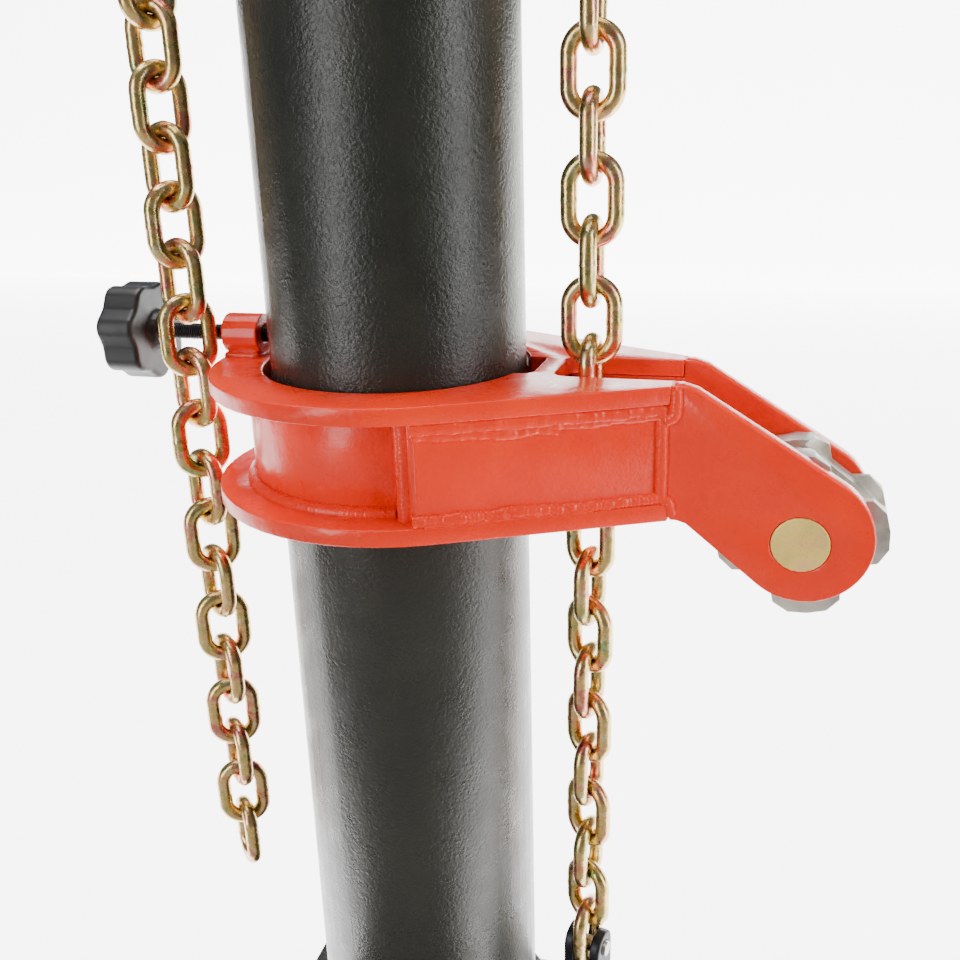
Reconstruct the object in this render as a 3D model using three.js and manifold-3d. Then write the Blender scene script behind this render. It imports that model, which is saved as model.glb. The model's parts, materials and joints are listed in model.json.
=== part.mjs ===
// Pulling tower of a body-straightening bench: a round column on a base flange, a hydraulic ram that
// lifts a chain head, and an adjustable pulley collar that guides the pulling chain.
// Origin: column axis on the underside of the base. +Z up, +X towards the pulley arm. Millimetres.
import * as THREE from 'three';
import { mergeVertices } from 'three/addons/utils/BufferGeometryUtils.js';
import Module from 'manifold-3d';

const wasm = await Module();
wasm.setup();

// Driving dimensions.
const gap = 0.3; // left between pieces that are welded or seated on each other
const base = { side: 300, thickness: 20, corner: 22, boltSpacing: 240, boltHole: 11 };
const gusset = { height: 90, reach: 62, thickness: 10, toe: 12 };
const column = { radius: 76, wall: 8, top: 900 };
const ram = { barrelRadius: 57, barrelWall: 10, barrelTop: 500, floor: 25, glandHeight: 45, glandFlange: 12 };
const rod = { radius: 30, running: 0.3, exposed: 38 };
const piston = { height: 40, lift: 12, play: 0.5 };
const seal = { depth: 7, from: 14, to: 26, play: 0.35 };
const wiper = { wall: 7, height: 6 };
const inlet = { radius: 9, bore: 4, height: 75, reach: 30 };
const inletHex = { radius: 14, length: 14, standOff: 4, portRoom: 3 };
const ring = { flange: 20, spigot: 30, bevel: 4, clearance: 0.4 };
const chain = { wire: 9.5, pitch: 32.7, width: 35.5, bite: 0.2, linkAboveCollar: 26.5 };
const fromColumn = (reach) => column.radius + reach; // places along the arm keep their reach past the column
const working = { x: fromColumn(40.3), linksBelow: 13, twist: -23, lean: 10, twistFrom: -10, twistTo: -130 };
const tail = { x: -fromColumn(51.5), y: -22.8, links: 24, slack: 0.8 };
const tailTurn = { perMm: -0.073, lean: -10, leanOver: 200 };
const collar = { top: 600, height: 76, plate: 10, offset: -1.4, taper: 27.6, clearance: 3.9, flange: 35 };
const notch = { reach: fromColumn(10.5), halfWidth: 21, corner: 6 };
const slot = { end: fromColumn(22), halfWidth: 24, corner: 10 };
const web = { radius: fromColumn(13), wall: 8.5, openAngle: 70 };
const sidePlate = { setBack: 3.5, thickness: 8, overlap: 9, bevel: 3 };
const cheek = { thickness: 12, heel: fromColumn(90.3), tongueGap: 2, endRadius: 36.4 };
const dogleg = { shoulder: 8.9, knee: 8.2 }; // where the arm turns down, past the cheek's heel
const easing = { before: 4, after: 4, drop: 2.4, kneeAfter: 1, kneeDrop: 1.5 }; // at the cheek's two bends
const pin = { radius: 15.5, x: fromColumn(160.5), drop: 84.5, running: 0.3 };
const armEnd = { ahead: 1.5, above: 3 }; // centre of the cheeks' round end, from the wheel's pin
const wheel = { width: 46, seatGap: 1, pocketRoom: 2, grooveRoom: 5.5, grooveDepth: 13.3, phase: 8 };
const lobe = { radius: 46, crown: 13, shoulder: 25, root: 33, shoulderDrop: 3.5 };
const screw = { radius: 5, height: 13, running: 0.3, buried: 14 };
const boss = { radius: 12.5, length: 24, inset: 0.5, footHalf: 9, footInset: 2 };
const pad = { radius: 8, thickness: 4 };
const knob = { radius: 31.5, lobes: 7, depth: 4, thickness: 25, hub: 12, hubLength: 5, reach: 82 };
const socket = { radius: 50, height: 32, depth: 22, bevel: 6 };
const head = { plate: 12, cheekGap: 84, cheek: 10 };
const headPlate = { frontInset: 9, rearReach: 6, corner: 8, cheekInset: 2 };
const headEye = { frontWall: 15, rearWall: 14, spacerWall: 6 };
const sheave = { rim: 3.5, rimRadius: 46, plateClearance: 2.5 };
const roller = { radius: 22, pinRadius: 10, sideGap: 2, running: 0.3, bend: 45, drop: 9 };
const grab = { thickness: 10, linkRoom: 2, rise: 14, below: 1.5 };
const hook = { pinRadius: 5, earRadius: 12, earWall: 7.3, sideRoom: 1.9, thickness: 16 };
const hookBowl = { drop: 62, outer: 34, inner: 19, tipAngle: 8, tipBevel: 3.5 };
const hookNeck = { top: 8, foot: 26, mouth: 30, earFoot: 22, linkRoom: 4 };
const latch = { thickness: 3, halfWidth: 4.5, pinRadius: 2, side: 1, inset: 3.5, tipGap: 1.5 };

// Materials.
function finish(color, roughness, metalness) {
  return new THREE.MeshStandardMaterial({ color, roughness, metalness });
}

const orangePaint = finish(0xe8401c, 0.35, 0.1);
const columnPaint = finish(0x3f403a, 0.35, 0.1);
const chainZinc = finish(0xa08a5c, 0.35, 0.9);
const wheelZinc = finish(0xc9c8c0, 0.45, 0.8);
const turnedSteel = finish(0xb9b6ad, 0.35, 0.9);
const hardChrome = finish(0xd8dadd, 0.08, 1.0);
const goldZinc = finish(0xcdb26a, 0.4, 0.8);
const blackPlastic = finish(0x161616, 0.4, 0.0);
const blackSteel = finish(0x1d1d1f, 0.45, 0.6);
const sealRubber = finish(0x181818, 0.8, 0.0);

// Solids.
function solidOf(geometry) {
  const bare = geometry.clone();
  bare.deleteAttribute('normal');
  bare.deleteAttribute('uv');
  const merged = mergeVertices(bare, 1e-4);
  const corners = merged.index.array;
  const kept = [];
  for (let i = 0; i < corners.length; i += 3) {
    const [a, b, c] = [corners[i], corners[i + 1], corners[i + 2]];
    if (a !== b && b !== c && c !== a) kept.push(a, b, c);
  }
  const vertProperties = new Float32Array(merged.attributes.position.array);
  return new wasm.Manifold(new wasm.Mesh({ numProp: 3, vertProperties, triVerts: new Uint32Array(kept) }));
}

function geometryOf(solid) {
  const mesh = solid.getMesh();
  const geometry = new THREE.BufferGeometry();
  geometry.setAttribute('position', new THREE.BufferAttribute(mesh.vertProperties, 3));
  geometry.setIndex(new THREE.BufferAttribute(mesh.triVerts, 1));
  return geometry;
}

const cut = (body, ...tools) =>
  geometryOf(tools.reduce((left, tool) => left.subtract(solidOf(tool)), solidOf(body)));
const join = (...pieces) => geometryOf(pieces.map(solidOf).reduce((sum, piece) => sum.add(piece)));

const tower = new THREE.Group();

function place(name, geometry, material, parent = tower) {
  const mesh = new THREE.Mesh(geometry, material);
  mesh.name = name;
  parent.add(mesh);
  return mesh;
}

// A flat outline in X and Y, raised from one height to another.
function slab(outline, from, to, curveSegments = 4) {
  const settings = { depth: to - from, bevelEnabled: false, curveSegments };
  return new THREE.ExtrudeGeometry(outline, settings).translate(0, 0, from);
}

// A flat outline in X and Z, given as a shape in X and Y, standing between two values of Y.
function upright(outline, from, to, curveSegments = 4) {
  return slab(outline, -to, -from, curveSegments).rotateX(Math.PI / 2);
}

// A ring or disc about Z from a closed outline of [radius, height] corners.
function turned(corners, segments = 32) {
  const profile = [...corners, corners[0]].map(([r, z]) => new THREE.Vector2(r, z));
  return geometryOf(solidOf(new THREE.LatheGeometry(profile, segments).rotateX(Math.PI / 2)));
}

const washer = (outer, inner, from, to, segments) =>
  turned([[inner, from], [outer, from], [outer, to], [inner, to]], segments);

function rodAlong(axis, radius, from, to, segments = 16) {
  const geometry = new THREE.CylinderGeometry(radius, radius, to - from, segments);
  geometry.translate(0, (from + to) / 2, 0);
  if (axis === 'z') geometry.rotateX(Math.PI / 2);
  if (axis === 'x') geometry.rotateZ(-Math.PI / 2);
  return geometry;
}

function block(x0, x1, y0, y1, z0, z1) {
  const geometry = new THREE.BoxGeometry(x1 - x0, y1 - y0, z1 - z0);
  return geometry.translate((x0 + x1) / 2, (y0 + y1) / 2, (z0 + z1) / 2);
}

function polygon(points) {
  return new THREE.Shape(points.map(([x, y]) => new THREE.Vector2(x, y)));
}

function roundedRectangle(x0, x1, y0, y1, radius) {
  const outline = new THREE.Shape();
  outline.moveTo(x0 + radius, y0);
  outline.absarc(x1 - radius, y0 + radius, radius, -Math.PI / 2, 0);
  outline.absarc(x1 - radius, y1 - radius, radius, 0, Math.PI / 2);
  outline.absarc(x0 + radius, y1 - radius, radius, Math.PI / 2, Math.PI);
  outline.absarc(x0 + radius, y0 + radius, radius, Math.PI, 1.5 * Math.PI);
  return outline;
}

const degrees = THREE.MathUtils.degToRad;

// Base and column.
function buildBase() {
  const half = base.side / 2;
  const reach = base.boltSpacing / 2;
  const holes = [[1, 1], [-1, 1], [-1, -1], [1, -1]].map(([i, j]) =>
    rodAlong('z', base.boltHole, -1, base.thickness + 1).translate(i * reach, j * reach, 0));
  const plate = slab(roundedRectangle(-half, half, -half, half, base.corner), 0, base.thickness);
  place('base_plate', cut(plate, ...holes), columnPaint);

  const foot = base.thickness + gap;
  const inner = column.radius + gap;
  const outer = inner + gusset.reach;
  const outline = polygon([[inner, foot], [outer, foot], [outer, foot + gusset.toe],
    [inner + gusset.toe, foot + gusset.height], [inner, foot + gusset.height]]);
  for (let i = 0; i < 4; i += 1) {
    const rib = upright(outline, -gusset.thickness / 2, gusset.thickness / 2);
    place(`base_gusset_${i + 1}`, rib, columnPaint).rotation.z = Math.PI / 4 + i * Math.PI / 2;
  }
}

function buildColumn() {
  const bore = column.radius - column.wall;
  const tube = washer(column.radius, bore, base.thickness + gap, column.top, 48);
  const port = rodAlong('y', inletHex.radius + inletHex.portRoom, 0, column.radius + 1);
  place('column_tube', cut(tube, port.translate(0, 0, inlet.height)), columnPaint);
}

// Hydraulic ram.
const barrelFoot = base.thickness + gap;
const barrelBore = ram.barrelRadius - ram.barrelWall;
const headFoot = column.top + gap + ring.flange + rod.exposed;

function buildRam() {
  const { barrelRadius, barrelTop, floor, glandHeight, glandFlange } = ram;
  const cup = turned([[0, barrelFoot], [barrelRadius, barrelFoot], [barrelRadius, barrelTop],
    [barrelBore, barrelTop], [barrelBore, barrelFoot + floor], [0, barrelFoot + floor]], 32);
  const port = rodAlong('y', inlet.radius + gap, 0, barrelRadius + 1).translate(0, 0, inlet.height);
  place('ram_barrel', cut(cup, port), turnedSteel);

  const glandBore = rod.radius + rod.running;
  const glandTop = barrelTop + glandFlange;
  const land = barrelBore - gap;
  place('ram_gland', turned([[glandBore, barrelTop - glandHeight], [land, barrelTop - glandHeight],
    [land, barrelTop + gap], [barrelRadius, barrelTop + gap], [barrelRadius, glandTop],
    [glandBore, glandTop]], 24), turnedSteel);
  place('rod_wiper', washer(rod.radius + wiper.wall, glandBore, glandTop + gap, glandTop + wiper.height, 24),
    sealRubber);

  const pistonFoot = barrelFoot + floor + piston.lift;
  const pistonTop = pistonFoot + piston.height;
  const grooveFloor = barrelBore - seal.depth;
  const [grooveLow, grooveHigh] = [pistonFoot + seal.from, pistonFoot + seal.to];
  const skirt = barrelBore - piston.play;
  place('ram_piston', turned([[0, pistonFoot], [skirt, pistonFoot], [skirt, grooveLow],
    [grooveFloor, grooveLow], [grooveFloor, grooveHigh], [skirt, grooveHigh], [skirt, pistonTop],
    [0, pistonTop]], 32), turnedSteel);
  const sealRing = washer(barrelBore - seal.play, grooveFloor + gap, grooveLow + gap, grooveHigh - gap, 32);
  place('piston_seal', sealRing, sealRubber);
  const rodTop = headFoot + socket.depth - gap;
  place('ram_rod', rodAlong('z', rod.radius, pistonTop + gap, rodTop, 24), hardChrome);

  const nippleEnd = column.radius + inlet.reach;
  const hexFrom = column.radius + inletHex.standOff;
  const stem = rodAlong('y', inlet.radius, barrelBore + 2, nippleEnd);
  const hex = rodAlong('y', inletHex.radius, hexFrom, hexFrom + inletHex.length, 6);
  const oilWay = rodAlong('y', inlet.bore, barrelBore, nippleEnd + 1, 12);
  place('oil_inlet', cut(join(stem, hex), oilWay).translate(0, 0, inlet.height), goldZinc);
}

// The ring turns on the column's top and guides the rod, so that head, chain and collar turn together.
function buildSwivelRing() {
  const bore = rod.radius + ring.clearance;
  const spigot = column.radius - column.wall - ring.clearance;
  const seat = column.top + gap;
  const top = seat + ring.flange;
  place('swivel_ring', turned([[bore, seat - ring.spigot], [spigot, seat - ring.spigot], [spigot, seat],
    [column.radius, seat], [column.radius, top - ring.bevel], [column.radius - ring.bevel, top],
    [bore, top]]), columnPaint);
}

// Pocket wheel.
const wheelFlatRadius = chain.pitch / 2 / Math.tan(Math.PI / 8);
const pocketFloor = wheelFlatRadius - chain.wire / 2 - wheel.seatGap;
const grooveFloor = pocketFloor - wheel.grooveDepth;
const grooveHalf = (chain.wire + wheel.grooveRoom) / 2;

// Lobes hold the flat links of the chain in four pockets; the upright links run in the middle groove.
function pocketWheel(phase) {
  const corners = [];
  for (let k = 0; k < 4; k += 1) {
    const middle = phase + 90 * k;
    const flatHalf = 45 - lobe.root;
    const rootRadius = pocketFloor / Math.cos(degrees(flatHalf));
    const stations = [[-lobe.root, rootRadius], [-lobe.shoulder, lobe.radius - lobe.shoulderDrop],
      [-lobe.crown, lobe.radius], [0, lobe.radius], [lobe.crown, lobe.radius],
      [lobe.shoulder, lobe.radius - lobe.shoulderDrop], [lobe.root, rootRadius]];
    stations.forEach(([turn, radius]) => {
      const angle = degrees(middle + turn);
      corners.push([radius * Math.cos(angle), radius * Math.sin(angle)]);
    });
  }
  const half = wheel.width / 2;
  const body = upright(polygon(corners), -half, half);
  const outside = lobe.radius + 5;
  const grooveRing = washer(outside, grooveFloor, -grooveHalf, grooveHalf, 16);
  const bore = rodAlong('y', pin.radius + pin.running, -half - 1, half + 1, 24);
  const tools = [grooveRing.rotateX(Math.PI / 2), bore];
  for (let k = 0; k < 4; k += 1) {
    const legHalf = (chain.pitch + 2 * chain.wire - chain.width) / 2;
    const radius = chain.width / 2 + wheel.pocketRoom;
    const outline = new THREE.Shape();
    outline.absarc(legHalf, 0, radius, -Math.PI / 2, Math.PI / 2);
    outline.absarc(-legHalf, 0, radius, Math.PI / 2, 1.5 * Math.PI);
    const pocket = slab(outline, pocketFloor, outside);
    tools.push(pocket.rotateY(degrees(45 - phase - 90 * k)));
  }
  return cut(body, ...tools);
}

// The head's wheel is a plain sheave: flat links ride on its shoulders between two thin rims.
function plainSheave() {
  const half = wheel.width / 2;
  const inner = half - sheave.rim;
  const hub = pin.radius + pin.running;
  const [rim, shoulder, floor] = [sheave.rimRadius, pocketFloor, grooveFloor];
  const profile = [[hub, -half], [rim, -half], [rim, -inner], [shoulder, -inner], [shoulder, -grooveHalf],
    [floor, -grooveHalf], [floor, grooveHalf], [shoulder, grooveHalf], [shoulder, inner], [rim, inner],
    [rim, half], [hub, half]];
  return turned(profile, 24).rotateX(Math.PI / 2);
}

// Chain route.
const headPlateTop = headFoot + socket.height + gap + head.plate;
const frontAxleX = working.x - wheelFlatRadius;
const rearAxleX = tail.x + roller.bend;

// The front axle sits where a flat link's centre falls, so that the wheel's pockets take the flat links.
const firstUpright = collar.top + chain.linkAboveCollar;
const lowestAxle = headPlateTop + sheave.rimRadius + sheave.plateClearance;
const stepsToAxle = 2 * Math.ceil(((lowestAxle - firstUpright) / chain.pitch - 1) / 2) + 1;
const headAxle = firstUpright + chain.pitch * stepsToAxle;
const chainTop = headAxle + wheelFlatRadius;
const rearTop = chainTop - roller.drop;
const rearAxle = rearTop - roller.bend;

// Centre line of the chain from the hook, up the working side, round the head and down the tail.
function chainRoute() {
  const bottom = firstUpright - chain.pitch * (working.linksBelow + 0.5);
  const half = chain.pitch / 2;
  const round = 0.5523 * roller.bend; // handle length that makes a quarter circle
  const corners = [
    new THREE.Vector3(working.x, 0, bottom),
    new THREE.Vector3(working.x, 0, headAxle + half),
    new THREE.Vector3(frontAxleX + half, 0, chainTop),
    new THREE.Vector3(frontAxleX - half - chain.pitch, 0, chainTop),
    new THREE.Vector3(rearAxleX, tail.y, rearTop),
  ];
  const route = new THREE.CurvePath();
  corners.slice(1).forEach((corner, i) => route.add(new THREE.LineCurve3(corners[i], corner)));
  const over = new THREE.Vector3(rearAxleX - round, tail.y, rearTop);
  const down = new THREE.Vector3(tail.x, tail.y, rearAxle + round);
  const foot = new THREE.Vector3(tail.x, tail.y, rearAxle);
  route.add(new THREE.CubicBezierCurve3(corners[4], over, down, foot));
  const end = foot.clone().setZ(rearAxle - chain.pitch * (tail.links + 2));
  route.add(new THREE.LineCurve3(foot, end));
  return route;
}

// Links in order from the hook, over the head, to the free end; every second one is flat, wide along Y.
function chainLinks() {
  const route = chainRoute();
  const routeLength = route.getLength();
  const pointAt = (s) => route.getPointAt(Math.min(1, s / routeLength));
  let tailLeft = tail.links;
  let s = 0;
  const found = [];
  for (let index = -working.linksBelow; tailLeft > 0; index += 1) {
    const start = pointAt(s);
    s += chain.pitch;
    for (let i = 0; i < 30; i += 1) s += chain.pitch - pointAt(s).distanceTo(start);
    const end = pointAt(s);
    const onTail = start.z <= rearAxle && end.z < start.z;
    const along = end.clone().sub(start).normalize();
    found.push({ start, centre: start.clone().lerp(end, 0.5), along, flat: index % 2 !== 0, onTail });
    if (onTail) tailLeft -= 1;
  }
  return found;
}

function widthDirection({ centre, along, flat, onTail }) {
  const width = flat ? new THREE.Vector3(0, 1, 0) : new THREE.Vector3(0, 1, 0).cross(along);
  width.addScaledVector(along, -width.dot(along)).normalize();
  let twist = 0;
  let lean = 0;
  if (onTail) {
    const below = rearAxle - centre.z;
    twist = tailTurn.perMm * below;
    lean = tailTurn.lean * Math.min(1, below / tailTurn.leanOver);
  } else if (centre.z < collar.top && centre.x > 0) {
    const part = THREE.MathUtils.smoothstep(collar.top - centre.z, -working.twistFrom, -working.twistTo);
    twist = working.twist * part;
    lean = working.lean * part;
  }
  return width.applyAxisAngle(new THREE.Vector3(0, 0, 1), degrees(twist + (flat ? lean : -lean)));
}

// One link: a ring stretched into two straight legs and two crowns.
function linkBody(link, lift = 0) {
  const spread = Math.cos(Math.PI / 8);
  const bend = (chain.width - chain.wire) / 2 / spread;
  const stretch = (chain.pitch + chain.wire) / 2 - bend * spread;
  const section = (chain.wire / 2 + chain.bite) / spread;
  const geometry = new THREE.TorusGeometry(bend, section, 4, 8).rotateZ(Math.PI / 8);
  const position = geometry.attributes.position;
  for (let i = 0; i < position.count; i += 1) {
    const y = position.getY(i);
    position.setY(i, y + Math.sign(y) * stretch);
  }
  const width = widthDirection(link);
  const frame = new THREE.Matrix4().makeBasis(width, link.along, width.clone().cross(link.along));
  frame.setPosition(link.centre.x, link.centre.y, link.centre.z + lift);
  return geometry.applyMatrix4(frame);
}

const links = chainLinks();
const headLinks = links.filter((link) => !link.onTail);
const tailLinks = links.filter((link) => link.onTail);
const lastLink = links[0];

function buildChain() {
  place('chain_working_run', join(...headLinks.map((link) => linkBody(link))), chainZinc);
  place('chain_tail', join(...tailLinks.map((link) => linkBody(link, tail.slack))), chainZinc);
}

// Chain head on the rod.
function buildHead() {
  const socketBore = rod.radius + gap;
  const [seat, crown] = [headFoot + socket.depth, headFoot + socket.height];
  place('head_socket', turned([[0, seat], [socketBore, seat], [socketBore, headFoot],
    [socket.radius - socket.bevel, headFoot], [socket.radius, headFoot + socket.bevel],
    [socket.radius, crown], [0, crown]]), orangePaint);

  const plateFrom = working.x - chain.width / 2 - headPlate.frontInset;
  const plateTo = tail.x + chain.width / 2 + headPlate.rearReach;
  const halfWidth = head.cheekGap / 2 + head.cheek;
  const plateOutline = roundedRectangle(plateTo, plateFrom, -halfWidth, halfWidth, headPlate.corner);
  place('head_plate', slab(plateOutline, crown + gap, headPlateTop), orangePaint);

  const outline = new THREE.Shape();
  outline.moveTo(plateTo + headPlate.cheekInset, headPlateTop + gap);
  outline.lineTo(plateFrom - headPlate.cheekInset, headPlateTop + gap);
  outline.absarc(frontAxleX, headAxle, pin.radius + headEye.frontWall, degrees(-40), degrees(75));
  outline.absarc(rearAxleX, rearAxle, roller.pinRadius + headEye.rearWall, degrees(100), degrees(200));
  const frontHole = rodAlong('y', pin.radius + gap, -60, 60, 24).translate(frontAxleX, 0, headAxle);
  const rearHole = rodAlong('y', roller.pinRadius + gap, -60, 60).translate(rearAxleX, 0, rearAxle);
  [['near', -1], ['far', 1]].forEach(([side, sign]) => {
    const faces = [sign * head.cheekGap / 2, sign * halfWidth].sort((a, b) => a - b);
    place(`head_cheek_${side}`, cut(upright(outline, ...faces, 8), frontHole, rearHole), orangePaint);
  });
  const wheelPin = rodAlong('y', pin.radius, -halfWidth, halfWidth, 24);
  place('head_wheel_pin', wheelPin.translate(frontAxleX, 0, headAxle), goldZinc);
  const rollerPin = rodAlong('y', roller.pinRadius, -halfWidth, halfWidth);
  place('head_roller_pin', rollerPin.translate(rearAxleX, 0, rearAxle), goldZinc);

  place('head_wheel', plainSheave().translate(frontAxleX, 0, headAxle), wheelZinc);
  const spacerFrom = wheel.width / 2 + gap;
  const spacerTo = head.cheekGap / 2 - gap;
  const spacer = washer(pin.radius + headEye.spacerWall, pin.radius + gap, spacerFrom, spacerTo, 24);
  spacer.rotateX(-Math.PI / 2);
  place('head_spacer_far', spacer.clone().translate(frontAxleX, 0, headAxle), turnedSteel);
  place('head_spacer_near', spacer.rotateZ(Math.PI).translate(frontAxleX, 0, headAxle), turnedSteel);
  const rollerHalf = head.cheekGap / 2 - roller.sideGap;
  const barrel = washer(roller.radius, roller.pinRadius + roller.running, -rollerHalf, rollerHalf, 16);
  place('head_roller', barrel.rotateX(Math.PI / 2).translate(rearAxleX, 0, rearAxle), wheelZinc);

  // The grab stands in the gap that an upright link leaves between its two flat neighbours.
  const held = headLinks.filter((link) => !link.flat && link.centre.z > headAxle + chain.pitch)
    .reduce((best, link) => (Math.abs(link.centre.x) < Math.abs(best.centre.x) ? link : best));
  const { x, y, z } = held.centre;
  const inner = head.cheekGap / 2 - gap;
  const halfThickness = grab.thickness / 2;
  const wall = block(x - halfThickness, x + halfThickness, -inner, inner, headPlateTop + gap, z + grab.rise);
  const slotHalf = (chain.wire + grab.linkRoom) / 2;
  const opening = block(-30, 30, -slotHalf, slotHalf, -chain.width / 2 - grab.below, grab.rise + 1);
  opening.rotateZ(Math.atan2(-held.along.y, -held.along.x)).translate(x, y, z);
  place('head_chain_grab', cut(wall, opening), orangePaint);
}

// Pulley collar.
const taper = degrees(collar.taper);
const cheekOuter = slot.halfWidth + cheek.thickness;
const collarFoot = collar.top - collar.height;
const collarRadius = fromColumn(collar.flange);

// Round back, straight sides tangent to it, cut square where the cheeks come out.
function flangeOutline() {
  const outline = new THREE.Shape();
  const meetAngle = Math.PI / 2 - taper;
  const edgeY = cheekOuter + 2;
  outline.moveTo(cheek.heel - gap, -slot.halfWidth);
  outline.lineTo(cheek.heel - gap, -edgeY);
  for (let i = 0; i <= 32; i += 1) {
    const angle = -meetAngle - i * (2 * Math.PI - 2 * meetAngle) / 32;
    outline.lineTo(collar.offset + collarRadius * Math.cos(angle), collarRadius * Math.sin(angle));
  }
  outline.lineTo(cheek.heel - gap, edgeY);
  outline.lineTo(cheek.heel - gap, slot.halfWidth);
  outline.lineTo(slot.end + slot.corner, slot.halfWidth);
  outline.absarc(slot.end + slot.corner, slot.halfWidth - slot.corner, slot.corner, Math.PI / 2, Math.PI);
  outline.absarc(slot.end + slot.corner, slot.corner - slot.halfWidth, slot.corner, Math.PI, 1.5 * Math.PI);
  return outline;
}

function buildFlanges() {
  const bore = rodAlong('z', fromColumn(collar.clearance), collarFoot - 1, collar.top + 1, 48);
  bore.translate(collar.offset, 0, 0);
  const relief = slab(roundedRectangle(0, notch.reach, -notch.halfWidth, notch.halfWidth, notch.corner),
    collarFoot - 1, collar.top + 1);
  const outline = flangeOutline();
  [['top', collar.top - collar.plate], ['bottom', collarFoot]].forEach(([name, from]) => {
    place(`collar_${name}_flange`, cut(slab(outline, from, from + collar.plate), bore, relief), orangePaint);
  });
}

function buildWeb() {
  const [low, high] = [collarFoot + collar.plate + gap, collar.top - collar.plate - gap];
  const open = degrees(web.openAngle);
  const outline = new THREE.Shape();
  const steps = 30;
  const arcPoint = (radius, i) => {
    const angle = open + (2 * Math.PI - 2 * open) * i / steps;
    return [collar.offset + radius * Math.cos(angle), radius * Math.sin(angle)];
  };
  outline.moveTo(...arcPoint(web.radius, 0));
  for (let i = 1; i <= steps; i += 1) outline.lineTo(...arcPoint(web.radius, i));
  for (let i = steps; i >= 0; i -= 1) outline.lineTo(...arcPoint(web.radius - web.wall, i));
  place('collar_web', slab(outline, low, high), orangePaint);
}

function buildSidePlates() {
  const [low, high] = [collarFoot + collar.plate + gap, collar.top - collar.plate - gap];
  const outer = collarRadius - sidePlate.setBack;
  const inner = outer - sidePlate.thickness;
  const normal = new THREE.Vector2(Math.sin(taper), -Math.cos(taper));
  const along = new THREE.Vector2(Math.cos(taper), Math.sin(taper));
  const corner = (distance, run) =>
    [collar.offset + normal.x * distance + along.x * run, normal.y * distance + along.y * run];
  const stopY = -(cheekOuter + gap);
  const runTo = (distance) => (stopY - normal.y * distance) / along.y;
  const { bevel } = sidePlate;
  const outline = [corner(inner, -sidePlate.overlap), corner(outer - bevel, -sidePlate.overlap),
    corner(outer, -sidePlate.overlap + bevel), corner(outer, runTo(outer)), corner(inner, runTo(inner))];
  place('collar_side_plate_near', slab(polygon(outline), low, high), orangePaint);
  const mirrored = outline.map(([x, y]) => [x, -y]);
  place('collar_side_plate_far', slab(polygon(mirrored), low, high), orangePaint);
}

// Dogleg plate: a tongue between the flanges, then the full height, then the arm down to its round end.
function cheekOutline() {
  const centre = new THREE.Vector2(pin.x + armEnd.ahead, collar.top - pin.drop + armEnd.above);
  const [kneeX, shoulderX] = [cheek.heel + dogleg.knee, cheek.heel + dogleg.shoulder];
  const tangent = (x, z, side) => {
    const toCentre = new THREE.Vector2(centre.x - x, centre.y - z);
    const angle = Math.atan2(toCentre.y, toCentre.x) + side * Math.asin(cheek.endRadius / toCentre.length());
    return angle + side * Math.PI / 2;
  };
  const [low, high] = [collarFoot + collar.plate + gap, collar.top - collar.plate - gap];
  const outline = new THREE.Shape();
  outline.moveTo(slot.end + cheek.tongueGap, low);
  outline.lineTo(cheek.heel, low);
  outline.lineTo(cheek.heel, collarFoot);
  outline.lineTo(kneeX - easing.before, collarFoot);
  outline.lineTo(kneeX + easing.kneeAfter, collarFoot - easing.kneeDrop);
  const [fromTurn, toTurn] = [tangent(kneeX, collarFoot, -1), tangent(shoulderX, collar.top, 1)];
  outline.absarc(centre.x, centre.y, cheek.endRadius, fromTurn, toTurn);
  outline.lineTo(shoulderX + easing.after, collar.top - easing.drop);
  outline.lineTo(shoulderX - easing.before, collar.top);
  outline.lineTo(cheek.heel, collar.top);
  outline.lineTo(cheek.heel, high);
  outline.lineTo(slot.end + cheek.tongueGap, high);
  return outline;
}

function buildArm() {
  const axle = collar.top - pin.drop;
  const hole = rodAlong('y', pin.radius + gap, -60, 60, 24).translate(pin.x, 0, axle);
  const outline = cheekOutline();
  place('collar_cheek_near', cut(upright(outline, -cheekOuter, -slot.halfWidth, 14), hole), orangePaint);
  place('collar_cheek_far', cut(upright(outline, slot.halfWidth, cheekOuter, 14), hole), orangePaint);
  const wheelPin = rodAlong('y', pin.radius, -cheekOuter, cheekOuter, 24);
  place('collar_wheel_pin', wheelPin.translate(pin.x, 0, axle), goldZinc);
  place('collar_wheel', pocketWheel(wheel.phase).translate(pin.x, 0, axle), wheelZinc);
}

// Clamp screw behind the collar.
const knobFace = -fromColumn(knob.reach);

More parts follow.
